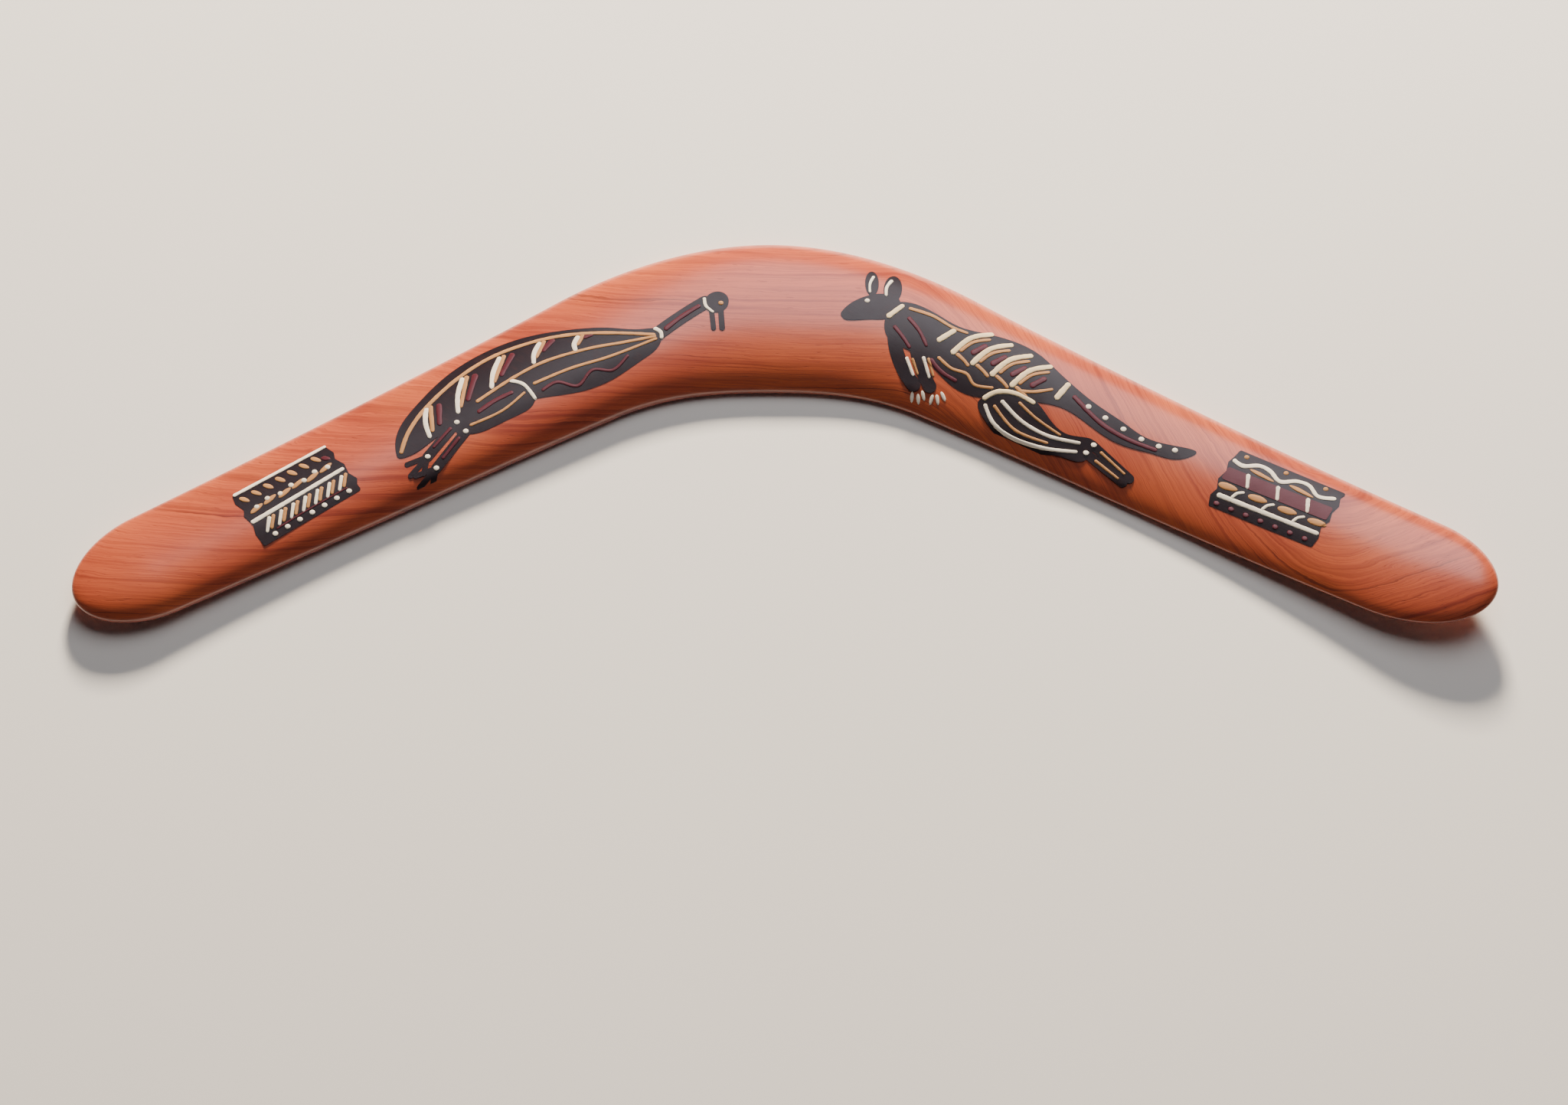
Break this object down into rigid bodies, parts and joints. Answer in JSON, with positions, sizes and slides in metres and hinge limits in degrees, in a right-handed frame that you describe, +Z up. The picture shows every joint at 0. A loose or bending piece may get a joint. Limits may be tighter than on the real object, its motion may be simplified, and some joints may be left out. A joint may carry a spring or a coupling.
{
  "type": "boomerang",
  "caption": "Returning boomerang carved from one plank of reddish timber, with a flat underside, a crowned top and hand-painted animal figures and patterned panels.",
  "frame": {"origin": "on the flat underside, below the middle of the elbow, on the elbow's axis", "axes": "+X towards the right wing tip, +Y towards the outer (convex) edge of the elbow, +Z up from the flat underside to the painted, crowned face"},
  "size_m": [0.4503, 0.1334, 0.0132],
  "materials": {
    "timber": "satin varnish",
    "black_paint": "satin",
    "maroon_paint": "satin",
    "ochre_paint": "satin",
    "cream_paint": "satin",
    "white_paint": "satin"
  },
  "bodies": {
    "root": {"timber_blank": "timber", "bird_ground": "black_paint", "bird_maroon_lines": "maroon_paint", "bird_ochre_lines": "ochre_paint", "bird_white_lines": "white_paint", "kangaroo_ground": "black_paint", "kangaroo_maroon_lines": "maroon_paint", "kangaroo_ochre_lines": "ochre_paint", "kangaroo_white_lines": "white_paint", "kangaroo_cream_ribs": "cream_paint", "kangaroo_claws": "white_paint", "left_panel_ground": "black_paint", "left_panel_maroon_thread": "maroon_paint", "left_panel_ochre_dashes": "ochre_paint", "left_panel_white_lines": "white_paint", "left_panel_white_dots": "white_paint", "right_panel_ground": "black_paint", "right_panel_maroon_field": "maroon_paint", "right_panel_maroon_dots": "maroon_paint", "right_panel_ochre_stones": "ochre_paint", "right_panel_white_lines": "white_paint"}
  },
  "joints": []
}
